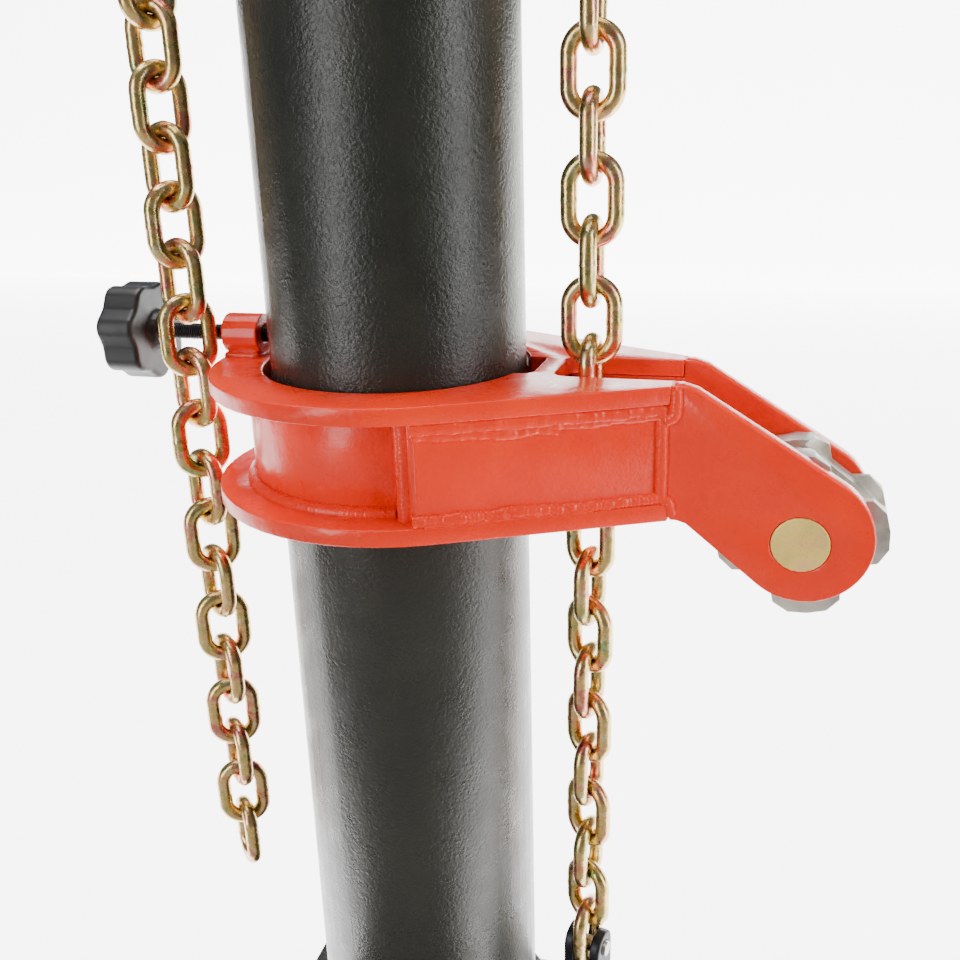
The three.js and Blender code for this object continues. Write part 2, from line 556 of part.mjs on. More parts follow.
function buildClamp() {
  const height = collar.top + screw.height;
  const bossFrom = collar.offset - collarRadius + boss.inset;
  const tube = rodAlong('x', boss.radius, bossFrom, bossFrom + boss.length);
  const footTop = block(bossFrom + boss.footInset, bossFrom + boss.length - boss.footInset, -boss.footHalf,
    boss.footHalf, gap - screw.height, -screw.radius);
  const bore = rodAlong('x', screw.radius + screw.running, bossFrom - 1, bossFrom + boss.length + 1, 16);
  const trim = block(bossFrom - 1, bossFrom + boss.length + 1, -20, 20, -30, -screw.height + gap);
  place('collar_screw_boss', cut(join(tube, footTop), bore, trim).translate(0, 0, height), orangePaint);

  const padFace = -column.radius - gap;
  const disc = rodAlong('x', pad.radius, padFace - pad.thickness, padFace);
  place('clamp_pad', disc.translate(0, 0, height), blackSteel);
  const screwTip = padFace - pad.thickness - gap;
  place('clamp_screw', rodAlong('x', screw.radius, knobFace - knob.hubLength - screw.buried, screwTip, 16)
    .translate(0, 0, height), blackSteel);

  const corners = [];
  const steps = knob.lobes * 6;
  for (let i = 0; i < steps; i += 1) {
    const angle = i / steps * 2 * Math.PI;
    const radius = knob.radius - knob.depth * (0.5 - 0.5 * Math.cos(knob.lobes * angle));
    corners.push([radius * Math.cos(angle), radius * Math.sin(angle)]);
  }
  const hubFrom = knobFace - knob.hubLength;
  const star = slab(polygon(corners), 0, knob.thickness).rotateY(Math.PI / 2);
  star.translate(hubFrom - knob.thickness, 0, 0);
  const hub = rodAlong('x', knob.hub, hubFrom - 1, knobFace);
  const screwHole = rodAlong('x', screw.radius + gap, hubFrom - screw.buried - gap, knobFace + 1, 16);
  place('clamp_knob', cut(join(star, hub), screwHole).translate(0, 0, height), blackPlastic);
}

// Hook.
// Drawn hanging from its clevis pin at the origin, opening towards +X, then turned to suit the last link.
function buildHook() {
  const frame = new THREE.Group();
  const width = widthDirection(lastLink);
  const pinDrop = chain.pitch / 2 - hook.pinRadius - 2 * gap;
  frame.position.set(lastLink.centre.x, lastLink.centre.y, lastLink.centre.z - pinDrop);
  frame.rotation.z = Math.atan2(width.y, width.x);
  tower.add(frame);

  const { drop, outer, inner, tipAngle, tipBevel } = hookBowl;
  const neck = hook.earRadius - 1;
  const tip = degrees(tipAngle);
  const outline = new THREE.Shape();
  outline.moveTo(-neck, -hookNeck.top);
  outline.lineTo(-neck - 1, -hookNeck.foot);
  outline.absarc(0, -drop, outer, degrees(140), 2 * Math.PI + tip, false);
  outline.lineTo(inner * Math.cos(tip) + tipBevel, -drop + outer * Math.sin(tip) + tipBevel);
  outline.absarc(0, -drop, inner, tip, degrees(-250), true);
  outline.lineTo(neck, -hookNeck.mouth);
  outline.lineTo(neck, -hookNeck.top);
  const half = hook.thickness / 2;
  const bowl = upright(outline, -half, half, 8);
  const slotHalf = (chain.wire + hook.sideRoom) / 2;
  const earHalf = slotHalf + hook.earWall;
  const ears = join(rodAlong('y', hook.earRadius, -earHalf, earHalf, 24),
    block(-hook.earRadius, hook.earRadius, -earHalf, earHalf, -hookNeck.earFoot, 0));
  const roomFoot = -chain.wire - hook.pinRadius - hookNeck.linkRoom;
  const linkRoom = block(-30, 30, -slotHalf, slotHalf, roomFoot, 30);
  const pinHole = rodAlong('y', hook.pinRadius + gap, -30, 30);
  const hinge = new THREE.Vector2(neck - latch.inset, -hookNeck.earFoot - latch.halfWidth - 2 * gap);
  const latchHole = rodAlong('y', latch.pinRadius + gap, -30, 30, 12).translate(hinge.x, 0, hinge.y);
  place('chain_hook', cut(join(bowl, ears), linkRoom, pinHole, latchHole), blackSteel, frame);
  place('hook_clevis_pin', rodAlong('y', hook.pinRadius, -earHalf - 2, earHalf + 2), turnedSteel, frame);
  const strapHalf = half + latch.side + latch.thickness;
  const latchPin = rodAlong('y', latch.pinRadius, -strapHalf, strapHalf, 12);
  place('hook_latch_pin', latchPin.translate(hinge.x, 0, hinge.y), turnedSteel, frame);

  // A sprung strap in a U: two ears outside the hook's neck and a tongue that shuts inside the tip.
  const { halfWidth } = latch;
  const shutAt = new THREE.Vector2(inner - halfWidth - latch.tipGap, -drop + halfWidth + latch.tipGap);
  const slope = Math.atan2(shutAt.y - hinge.y, shutAt.x - hinge.x);
  const length = shutAt.distanceTo(hinge);
  const bar = roundedRectangle(-halfWidth, length, -halfWidth, halfWidth, halfWidth - 0.1);
  const strap = upright(bar, -strapHalf, strapHalf);
  const hollow = block(-10, length - latch.thickness, -half - latch.side, half + latch.side, -10, 10);
  const hingeHole = rodAlong('y', latch.pinRadius + gap, -30, 30, 12);
  const shut = cut(strap, hollow, hingeHole).rotateY(-slope).translate(hinge.x, 0, hinge.y);
  place('hook_latch', shut, goldZinc, frame);
}

buildBase();
buildColumn();
buildRam();
buildSwivelRing();
buildHead();
buildChain();
buildFlanges();
buildWeb();
buildSidePlates();
buildArm();
buildClamp();
buildHook();

export default tower;
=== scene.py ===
import itertools
import json
import math
import random

import bmesh
import bpy
from mathutils import Matrix, Quaternion, Vector


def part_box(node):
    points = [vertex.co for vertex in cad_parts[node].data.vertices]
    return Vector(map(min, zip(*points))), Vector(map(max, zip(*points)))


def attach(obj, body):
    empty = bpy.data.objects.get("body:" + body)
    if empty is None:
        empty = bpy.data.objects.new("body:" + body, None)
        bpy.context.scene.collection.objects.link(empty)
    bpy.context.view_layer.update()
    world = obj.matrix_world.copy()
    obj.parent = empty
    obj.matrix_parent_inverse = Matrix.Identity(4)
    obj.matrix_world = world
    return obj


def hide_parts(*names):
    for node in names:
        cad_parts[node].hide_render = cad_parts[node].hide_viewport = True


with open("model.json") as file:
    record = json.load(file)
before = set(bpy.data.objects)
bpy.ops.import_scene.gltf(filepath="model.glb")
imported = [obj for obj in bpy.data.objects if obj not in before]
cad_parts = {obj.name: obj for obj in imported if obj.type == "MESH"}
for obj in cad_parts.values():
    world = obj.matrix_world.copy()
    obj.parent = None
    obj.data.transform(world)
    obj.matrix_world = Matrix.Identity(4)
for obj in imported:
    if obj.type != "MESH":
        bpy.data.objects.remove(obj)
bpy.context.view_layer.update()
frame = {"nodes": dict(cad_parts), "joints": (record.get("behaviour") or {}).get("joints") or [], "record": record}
record = frame["record"]
bodyOf = {node: body for body, nodes in record["behaviour"]["bodies"].items() for node in nodes}
slotOf = {part["node"]: part["material_slot"] for part in record["subparts"]}
jointAt = {joint["name"]: Vector(joint.get("pos_m", (0, 0, 0))) for joint in frame["joints"]}
collection = bpy.context.scene.collection
mm = 0.001

# camera: a standing viewer's eye, looking a little down at the collar
cameraSizes = {"place": (0.2265, -0.5838, 0.7414), "azimuth": 107.0, "down": 19.38, "roll": -1.75,
               "lens": 39.81, "sensor": 36, "nearest": 0.01}


def makeCamera(sizes):
    azimuth, down = math.radians(sizes["azimuth"]), math.radians(sizes["down"])
    level = Vector((math.cos(azimuth), math.sin(azimuth), 0))
    ahead = level * math.cos(down) - Vector((0, 0, math.sin(down)))
    right = Vector((math.sin(azimuth), -math.cos(azimuth), 0))
    up = right.cross(ahead)
    roll = math.radians(sizes["roll"])
    tilted = math.cos(roll) * right + math.sin(roll) * up
    upright = math.cos(roll) * up - math.sin(roll) * right
    data = bpy.data.cameras.new("camera")
    data.sensor_width = sizes["sensor"]
    data.lens = sizes["lens"]
    data.clip_start = sizes["nearest"]
    camera = bpy.data.objects.new("camera", data)
    turn = Matrix((tilted, upright, -ahead)).transposed().to_4x4()
    camera.matrix_world = Matrix.Translation(sizes["place"]) @ turn
    collection.objects.link(camera)
    bpy.context.scene.camera = camera


makeCamera(cameraSizes)
print("camera placed")


# small tools
def linear(hexText):
    parts = [int(hexText[i:i + 2], 16) / 255 for i in (1, 3, 5)]
    return tuple(c / 12.92 if c <= 0.04045 else ((c + 0.055) / 1.055) ** 2.4 for c in parts) + (1,)


def add(tree, kind, inputs=None, stops=(), **settings):
    # an input is a value, a socket, or a node, which gives its first output; stops are a colour ramp's
    node = tree.nodes.new(kind)
    for name, value in settings.items():
        setattr(node, name, value)
    for key, value in (inputs or {}).items():
        if isinstance(value, bpy.types.Node):
            value = value.outputs[0]
        if isinstance(value, bpy.types.NodeSocket):
            tree.links.new(value, node.inputs[key])
        else:
            node.inputs[key].default_value = value
    for _ in stops[2:]:
        node.color_ramp.elements.new(0.5)
    if stops:
        for element, (at, colour) in zip(node.color_ramp.elements, stops):
            element.position = at
            element.color = linear(colour) if isinstance(colour, str) else (colour, colour, colour, 1)
    return node


def newMaterial(name, **shader):
    material = bpy.data.materials.new(name)
    material.use_nodes = True
    tree = material.node_tree
    bsdf = tree.nodes["Principled BSDF"]
    for key, value in shader.items():
        bsdf.inputs[key.replace("_", " ")].default_value = value
    return material, tree, bsdf, add(tree, "ShaderNodeTexCoord").outputs["Object"]


def dress(tree, bsdf, colour, rough, normal):
    tree.links.new(colour, bsdf.inputs["Base Color"])
    tree.links.new(rough, bsdf.inputs["Roughness"])
    tree.links.new(normal, bsdf.inputs["Normal"])


# Polyester powder coat over steel plate: a bright, wet-looking skin with shallow orange peel
def powderCoat(name, peelDepth, peelSize):
    material, tree, bsdf, place = newMaterial(name, IOR=1.38, Coat_Weight=0.12, Coat_Roughness=0.08)
    broad = add(tree, "ShaderNodeTexNoise", {"Vector": place, "Scale": 1 / (60 * mm), "Detail": 3})
    tone = add(tree, "ShaderNodeValToRGB", {"Fac": broad},
               stops=[(0.3, "#E82800"), (0.55, "#F22E02"), (0.75, "#FA3808")])
    fine = add(tree, "ShaderNodeTexNoise", {"Vector": place, "Scale": 1 / (3.5 * mm)})
    thin = add(tree, "ShaderNodeValToRGB", {"Fac": fine}, stops=[(0.62, 0.0), (0.8, 0.12)])
    tone = add(tree, "ShaderNodeMix", {0: thin, 6: tone, 7: linear("#F84810")}, data_type="RGBA").outputs[2]
    speck = add(tree, "ShaderNodeTexNoise", {"Vector": place, "Scale": 1 / (1.6 * mm), "Detail": 1, "Roughness": 0.4})
    speck = add(tree, "ShaderNodeValToRGB", {"Fac": speck}, stops=[(0.74, 0.0), (0.77, 1.0)])
    patch = add(tree, "ShaderNodeTexNoise", {"Vector": place, "Scale": 1 / (30 * mm)})
    patch = add(tree, "ShaderNodeValToRGB", {"Fac": patch}, stops=[(0.55, 0.0), (0.7, 0.5)])
    dust = add(tree, "ShaderNodeMath", {0: speck, 1: patch}, operation="MULTIPLY")
    tone = add(tree, "ShaderNodeMix", {0: dust, 6: tone, 7: linear("#A52A12")}, data_type="RGBA").outputs[2]
    sheen = add(tree, "ShaderNodeTexNoise", {"Vector": place, "Scale": 1 / (12 * mm), "Detail": 3})
    rough = add(tree, "ShaderNodeValToRGB", {"Fac": sheen}, stops=[(0.3, 0.24), (0.7, 0.36)])
    peel = add(tree, "ShaderNodeTexNoise", {"Vector": place, "Scale": 1 / peelSize, "Detail": 1.5, "Roughness": 0.45,
                                            "Distortion": 0.4})
    wave = add(tree, "ShaderNodeTexNoise", {"Vector": place, "Scale": 1 / (9 * mm)})
    skin = add(tree, "ShaderNodeBump", {"Height": peel, "Distance": peelDepth})
    skin = add(tree, "ShaderNodeBump", {"Height": wave, "Distance": peelDepth * 2.2, "Normal": skin})
    dress(tree, bsdf, tone, rough.outputs[0], skin.outputs[0])
    return material


# Solvent enamel on rolled tube: dark olive grey, leathery from the roller, chipped here and there
def columnPaint():
    material, tree, bsdf, place = newMaterial("hammered olive enamel", IOR=1.42)
    broad = add(tree, "ShaderNodeTexNoise", {"Vector": place, "Scale": 1 / (90 * mm), "Detail": 3})
    tone = add(tree, "ShaderNodeValToRGB", {"Fac": broad},
               stops=[(0.3, "#1E1F1A"), (0.6, "#25251F"), (0.8, "#2D2C25")])
    drawn = add(tree, "ShaderNodeMapping", {"Vector": place, "Scale": (1, 1, 0.35)})  # streaks run up the tube
    streak = add(tree, "ShaderNodeTexNoise", {"Vector": drawn, "Scale": 1 / (20 * mm), "Detail": 4})
    streak = add(tree, "ShaderNodeValToRGB", {"Fac": streak}, stops=[(0.45, 0.0), (0.8, 0.35)])
    tone = add(tree, "ShaderNodeMix", {0: streak, 6: tone, 7: linear("#322F26")}, data_type="RGBA").outputs[2]
    chip = add(tree, "ShaderNodeTexNoise", {"Vector": drawn, "Scale": 1 / (4.5 * mm), "Detail": 3, "Roughness": 0.6,
                                            "Distortion": 0.6})
    chip = add(tree, "ShaderNodeValToRGB", {"Fac": chip}, stops=[(0.72, 0.0), (0.745, 1.0)])
    worn = add(tree, "ShaderNodeTexNoise", {"Vector": place, "Scale": 1 / (50 * mm)})
    worn = add(tree, "ShaderNodeValToRGB", {"Fac": worn}, stops=[(0.56, 0.0), (0.66, 1.0)])
    chipped = add(tree, "ShaderNodeMath", {0: chip, 1: worn}, operation="MULTIPLY")
    tone = add(tree, "ShaderNodeMix", {0: chipped, 6: tone, 7: linear("#5C3D28")}, data_type="RGBA").outputs[2]
    sheen = add(tree, "ShaderNodeTexNoise", {"Vector": place, "Scale": 1 / (20 * mm), "Detail": 3})
    sheen = add(tree, "ShaderNodeValToRGB", {"Fac": sheen}, stops=[(0.3, 0.24), (0.7, 0.34)])
    dull = add(tree, "ShaderNodeMath", {0: chipped, 1: 0.3}, operation="MULTIPLY")
    rough = add(tree, "ShaderNodeMath", {0: sheen, 1: dull}, operation="ADD")
    leather = add(tree, "ShaderNodeTexVoronoi", {"Vector": place, "Scale": 1 / (2.4 * mm), "Randomness": 1.0},
                  feature="SMOOTH_F1").outputs["Distance"]
    grain = add(tree, "ShaderNodeTexNoise", {"Vector": place, "Scale": 1 / (1.5 * mm), "Detail": 3, "Roughness": 0.55,
                                             "Distortion": 0.5})
    skin = add(tree, "ShaderNodeBump", {"Height": leather, "Distance": 0.16 * mm})
    skin = add(tree, "ShaderNodeBump", {"Height": grain, "Distance": 0.3 * mm, "Normal": skin})
    dress(tree, bsdf, tone, rough.outputs[0], skin.outputs[0])
    return material


# Yellow zinc chromate on welded chain: gold that drifts to pink and green, worn grey where links rub
def chainZinc():
    material, tree, bsdf, place = newMaterial("yellow zinc passivated chain", Metallic=1.0)
    drift = add(tree, "ShaderNodeTexNoise", {"Vector": place, "Scale": 1 / (16 * mm), "Distortion": 0.8})
    tone = add(tree, "ShaderNodeValToRGB", {"Fac": drift},
               stops=[(0.26, "#8FA066"), (0.4, "#CDB06A"), (0.52, "#DDB878"), (0.62, "#D48E6C"), (0.74, "#C8746C")])
    film = add(tree, "ShaderNodeTexNoise", {"Vector": place, "Scale": 1 / (5 * mm), "Detail": 3, "Roughness": 0.6})
    film = add(tree, "ShaderNodeValToRGB", {"Fac": film}, stops=[(0.5, 0.0), (0.75, 0.55)])
    tone = add(tree, "ShaderNodeMix", {0: film, 6: tone, 7: linear("#EADFC0")}, data_type="RGBA").outputs[2]
    dark = add(tree, "ShaderNodeTexNoise", {"Vector": place, "Scale": 1 / (2.8 * mm), "Detail": 4, "Roughness": 0.65})
    dark = add(tree, "ShaderNodeValToRGB", {"Fac": dark}, stops=[(0.6, 0.0), (0.78, 0.6)])
    tone = add(tree, "ShaderNodeMix", {0: dark, 6: tone, 7: linear("#6B5436")}, data_type="RGBA").outputs[2]
    rough = add(tree, "ShaderNodeTexNoise", {"Vector": place, "Scale": 1 / (4 * mm), "Detail": 3})
    rough = add(tree, "ShaderNodeValToRGB", {"Fac": rough}, stops=[(0.3, 0.2), (0.7, 0.36)])
    grain = add(tree, "ShaderNodeTexNoise", {"Vector": place, "Scale": 1 / (1.8 * mm), "Detail": 3, "Roughness": 0.6})
    hammer = add(tree, "ShaderNodeTexNoise", {"Vector": place, "Scale": 1 / (7 * mm)})
    skin = add(tree, "ShaderNodeBump", {"Height": grain, "Distance": 0.08 * mm})
    skin = add(tree, "ShaderNodeBump", {"Height": hammer, "Distance": 0.35 * mm, "Normal": skin})
    dress(tree, bsdf, tone, rough.outputs[0], skin.outputs[0])
    return material


# Zinc over a casting, faces turned: pale grey, slightly grainy, duller in the pockets
def wheelZinc():
    material, tree, bsdf, place = newMaterial("pale zinc plated casting", Metallic=0.85)
    tone = add(tree, "ShaderNodeTexNoise", {"Vector": place, "Scale": 1 / (12 * mm), "Detail": 3})
    tone = add(tree, "ShaderNodeValToRGB", {"Fac": tone},
               stops=[(0.3, "#B9B7AC"), (0.6, "#D2CFC4"), (0.8, "#DCD6C4")])
    warm = add(tree, "ShaderNodeTexNoise", {"Vector": place, "Scale": 1 / (20 * mm)})
    warm = add(tree, "ShaderNodeValToRGB", {"Fac": warm}, stops=[(0.55, 0.0), (0.75, 0.4)])
    tone = add(tree, "ShaderNodeMix", {0: warm, 6: tone, 7: linear("#CBB48C")}, data_type="RGBA").outputs[2]
    rough = add(tree, "ShaderNodeTexNoise", {"Vector": place, "Scale": 1 / (6 * mm), "Detail": 3})
    rough = add(tree, "ShaderNodeValToRGB", {"Fac": rough}, stops=[(0.3, 0.38), (0.7, 0.52)])
    grain = add(tree, "ShaderNodeTexNoise", {"Vector": place, "Scale": 1 / (1.2 * mm), "Detail": 4, "Roughness": 0.6})
    skin = add(tree, "ShaderNodeBump", {"Height": grain, "Distance": 0.12 * mm})
    dress(tree, bsdf, tone, rough.outputs[0], skin.outputs[0])
    return material


# Pale gold zinc on a sawn and faced pin: drifting gold and pink with grey specks
def goldZinc():
    material, tree, bsdf, place = newMaterial("pale gold zinc on turned steel", Metallic=0.5)
    tone = add(tree, "ShaderNodeTexNoise", {"Vector": place, "Scale": 1 / (18 * mm)})
    tone = add(tree, "ShaderNodeValToRGB", {"Fac": tone},
               stops=[(0.35, "#F0CC70"), (0.5, "#FFDA78"), (0.68, "#F0B088")])
    speck = add(tree, "ShaderNodeTexNoise", {"Vector": place, "Scale": 1 / (1.1 * mm), "Detail": 3, "Roughness": 0.6})
    speck = add(tree, "ShaderNodeValToRGB", {"Fac": speck}, stops=[(0.6, 0.0), (0.72, 0.55)])
    tone = add(tree, "ShaderNodeMix", {0: speck, 6: tone, 7: linear("#8F8465")}, data_type="RGBA").outputs[2]
    rough = add(tree, "ShaderNodeTexNoise", {"Vector": place, "Scale": 1 / (3 * mm), "Detail": 3})
    rough = add(tree, "ShaderNodeValToRGB", {"Fac": rough}, stops=[(0.3, 0.34), (0.7, 0.5)])
    grain = add(tree, "ShaderNodeTexNoise", {"Vector": place, "Scale": 1 / (0.9 * mm), "Detail": 3, "Roughness": 0.6})
    skin = add(tree, "ShaderNodeBump", {"Height": grain, "Distance": 0.1 * mm})
    dress(tree, bsdf, tone, rough.outputs[0], skin.outputs[0])
    return material


# One recipe for the plainer finishes: two tones, blotch and grain widths and grain depth in millimetres
def plainFinish(name, tones, blotch, roughness, grain, depth, stretch=(1, 1, 1), **shader):
    material, tree, bsdf, place = newMaterial(name, **shader)
    place = add(tree, "ShaderNodeMapping", {"Vector": place, "Scale": stretch})
    tone = add(tree, "ShaderNodeTexNoise", {"Vector": place, "Scale": 1 / (blotch * mm), "Detail": 3})
    tone = add(tree, "ShaderNodeValToRGB", {"Fac": tone}, stops=[(0.35, tones[0]), (0.65, tones[1])])
    rough = add(tree, "ShaderNodeTexNoise", {"Vector": place, "Scale": 1 / (blotch * 0.4 * mm), "Detail": 3})
    rough = add(tree, "ShaderNodeValToRGB", {"Fac": rough}, stops=[(0.3, roughness[0]), (0.7, roughness[1])])
    grains = add(tree, "ShaderNodeTexNoise", {"Vector": place, "Scale": 1 / (grain * mm), "Roughness": 0.55})
    skin = add(tree, "ShaderNodeBump", {"Height": grains, "Distance": depth * mm})
    dress(tree, bsdf, tone.outputs[0], rough.outputs[0], skin.outputs[0])
    return material


finishes = {
    "orange_paint": powderCoat("gloss orange powder coat", 0.16 * mm, 1.7 * mm),
    "column_paint": columnPaint(),
    "chain_zinc": chainZinc(),
    "wheel_zinc": wheelZinc(),
    "gold_zinc": goldZinc(),
    # bright from the lathe, the tool's lines too fine to see one by one
    "turned_steel": plainFinish("turned bright steel", ("#A9A69E", "#C2BFB6"), 20, (0.28, 0.4), 1.2, 0.05,
                                (1, 1, 4), Metallic=1.0),
    # ground and plated rod: nearly a mirror, with a breath of oil
    "hard_chrome": plainFinish("ground hard chrome", ("#D2D4D6", "#DEE0E1"), 50, (0.06, 0.14), 4, 0.01,
                               (1, 1, 0.2), Metallic=1.0),
    # glass-filled nylon: satin black, fine spark texture from the mould
    "black_plastic": plainFinish("moulded black nylon", ("#08080A", "#0E0E11"), 30, (0.4, 0.52), 0.9, 0.06,
                                 Metallic=0.0, IOR=1.52),
    # blued steel: dark, thinly oiled
    "black_steel": plainFinish("black oxide steel", ("#17181B", "#26262A"), 10, (0.34, 0.5), 1.5, 0.06,
                               Metallic=0.7),
    # moulded seal stock: dull black with a faint bloom
    "seal_rubber": plainFinish("nitrile rubber", ("#101010", "#181818"), 10, (0.55, 0.7), 1.0, 0.03,
                               Metallic=0.0),
}
# paint run thick over weld ripples has no peel of its own, only slow waves
weldPaint = {"orange_paint": powderCoat("orange powder coat over weld", 0.2 * mm, 4.5 * mm),
             "column_paint": finishes["column_paint"]}
print("materials ready")


# pieces
def newPiece(name, mesh, material, body, nodes=()):
    piece = bpy.data.objects.new(name, mesh)
    collection.objects.link(piece)
    mesh.materials.clear()
    mesh.materials.append(material)
    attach(piece, body)
    if nodes:
        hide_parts(*nodes)
    return piece


sharpAngle = math.radians(32)  # an edge sharper than this is broken by the grinder
mergeSizes = {"weld": 1e-6, "flat": math.radians(0.4)}  # corners closer, and faces flatter, than these are one


def cleanCopy(node):
    mesh = frame["nodes"][node].data.copy()
    work = bmesh.new()
    work.from_mesh(mesh)
    bmesh.ops.remove_doubles(work, verts=work.verts, dist=mergeSizes["weld"])
    bmesh.ops.dissolve_limit(work, angle_limit=mergeSizes["flat"], verts=work.verts, edges=work.edges)
    for face in work.faces:
        face.smooth = True
    work.to_mesh(mesh)
    work.free()
    for layer in list(mesh.uv_layers):
        mesh.uv_layers.remove(layer)
    return mesh


def applied(piece):
    graph = bpy.context.evaluated_depsgraph_get()
    shaped = piece.evaluated_get(graph)
    mesh = bpy.data.meshes.new_from_object(shaped, preserve_all_data_layers=True, depsgraph=graph)
    bpy.data.objects.remove(piece)
    return mesh


def bare(name, mesh):
    piece = bpy.data.objects.new(name, mesh)
    collection.objects.link(piece)
    return piece


# A CAD piece with its edges broken as a grinder or a mould would leave them
def eased(node, edge, segments=2):
    piece = bare(node + "_raw", cleanCopy(node))
    bevel = piece.modifiers.new("edges", "BEVEL")
    bevel.width = edge
    bevel.segments = segments
    bevel.limit_method = "ANGLE"
    bevel.angle_limit = sharpAngle
    bevel.use_clamp_overlap = True
    bevel.harden_normals = True
    return newPiece(node + "_eased", applied(piece), finishes[slotOf[node]], bodyOf[node], [node])


easedEdges = {  # how wide each piece's broken edges are, in millimetres
    "base_plate": 1.5, "base_gusset_1": 0.8, "base_gusset_2": 0.8, "base_gusset_3": 0.8, "base_gusset_4": 0.8,
    "column_tube": 1.2, "ram_barrel": 0.8, "ram_gland": 0.8, "ram_piston": 0.6, "piston_seal": 0.3,
    "rod_wiper": 0.5, "ram_rod": 1.5, "oil_inlet": 0.6, "swivel_ring": 1.2,
    "head_socket": 1.0, "head_plate": 1.2, "head_cheek_near": 1.2, "head_cheek_far": 1.2,
    "head_wheel_pin": 1.0, "head_roller_pin": 0.8, "head_spacer_far": 0.5, "head_spacer_near": 0.5,
    "head_roller": 1.0, "head_chain_grab": 1.2, "head_wheel": 1.0, "collar_wheel": 2.2,
    "collar_top_flange": 1.1, "collar_bottom_flange": 1.1, "collar_web": 0.4,
    "collar_side_plate_near": 0.8, "collar_side_plate_far": 0.8,
    "collar_cheek_near": 1.2, "collar_cheek_far": 1.2, "collar_wheel_pin": 0.6, "clamp_pad": 0.5,
    "hook_clevis_pin": 0.5, "hook_latch_pin": 0.3, "hook_latch": 0.4,
}
for node, edge in easedEdges.items():
    eased(node, edge * mm)
print("plates and turned pieces eased")


def newTree(name, inputs):
    tree = bpy.data.node_groups.new(name, "GeometryNodeTree")
    tree.interface.new_socket("Geometry", in_out="INPUT", socket_type="NodeSocketGeometry")
    for label, (kind, value) in inputs.items():
        socket = tree.interface.new_socket(label, in_out="INPUT", socket_type="NodeSocket" + kind)
        if value is not None:
            socket.default_value = value
    tree.interface.new_socket("Geometry", in_out="OUTPUT", socket_type="NodeSocketGeometry")
    return tree, add(tree, "NodeGroupInput").outputs


def closeTree(tree, geometry, material):
    realized = add(tree, "GeometryNodeRealizeInstances", {"Geometry": geometry})
    smooth = add(tree, "GeometryNodeSetShadeSmooth", {"Geometry": realized})
    coloured = add(tree, "GeometryNodeSetMaterial", {"Geometry": smooth, "Material": material})
    add(tree, "NodeGroupOutput", {"Geometry": coloured})


def grown(tree, mesh, values):
    piece = bare("raw", mesh)
    modifier = piece.modifiers.new("shape", "NODES")
    modifier.node_group = tree
    for item in tree.interface.items_tree:
        if item.in_out == "INPUT" and item.name in values:
            modifier[item.identifier] = values[item.name]
    return applied(piece)


def swept(tree, curve, radius, sides):
    # a round section along a curve, its radius given as a field
    profile = add(tree, "GeometryNodeCurvePrimitiveCircle", {"Resolution": sides, "Radius": 1.0})
    sized = add(tree, "GeometryNodeSetCurveRadius", {"Curve": curve, "Radius": radius})
    sweep = add(tree, "GeometryNodeCurveToMesh", {"Curve": sized, "Profile Curve": profile, "Fill Caps": True})
    if "Scale" in sweep.inputs:
        tree.links.new(add(tree, "GeometryNodeInputRadius").outputs["Radius"], sweep.inputs["Scale"])
    return sweep.outputs["Mesh"]


# chain
chainSizes = {
    "wire": 9.5, "pitch": 32.7, "width": 35.5, "firstUpright": 626.5, "linksBelow": 13,
    "workingX": 116.3, "twist": -23, "lean": 10, "twistFrom": -10, "twistTo": -130, "collarTop": 600,
    "tailX": -127.5, "tailY": -22.8, "tailLinks": 24, "twistPerMm": -0.073, "tailLean": -10, "leanOver": 200,
    "slack": 0.8, "bend": 45, "drop": 9, "rearX": -82.5, "step": 0.5, "bendSteps": 200, "tailSteps": 1600,
    "seamHalf": 2.2, "seamRise": 0.05, "segments": 88, "sides": 14,
}


quarterHandle = 0.5523  # handle length, as a share of the radius, that bends a curve like a quarter circle


def chainRoute(sizes):
    pitch, half = sizes["pitch"], sizes["pitch"] / 2
    axle = jointAt["head_wheel_turn"] / mm
    flat = half / math.tan(math.pi / 8)
    top = axle.z + flat
    rearTop = top - sizes["drop"]
    rearAxle = rearTop - sizes["bend"]
    handle = quarterHandle * sizes["bend"]
    front = axle.x
    corners = [
        (sizes["workingX"], 0, sizes["firstUpright"] - pitch * (sizes["linksBelow"] + 0.5)),
        (sizes["workingX"], 0, axle.z + half),
        (front + half, 0, top),
        (front - half - pitch, 0, top),
        (sizes["rearX"], sizes["tailY"], rearTop),
    ]
    points = []
    for start, end in zip(corners, corners[1:]):
        start, end = Vector(start), Vector(end)
        steps = max(2, int((end - start).length / sizes["step"]))
        points += [start.lerp(end, i / steps) for i in range(steps)]
    a, d = Vector(corners[-1]), Vector((sizes["tailX"], sizes["tailY"], rearAxle))
    b = a - Vector((handle, 0, 0))
    c = d + Vector((0, 0, handle))
    for i in range(sizes["bendSteps"]):
        t = i / sizes["bendSteps"]
        points.append(a * (1 - t) ** 3 + b * 3 * t * (1 - t) ** 2 + c * 3 * t * t * (1 - t) + d * t ** 3)
    last = d - Vector((0, 0, pitch * (sizes["tailLinks"] + 3)))
    points += [d.lerp(last, i / sizes["tailSteps"]) for i in range(sizes["tailSteps"] + 1)]
    return points, rearAxle


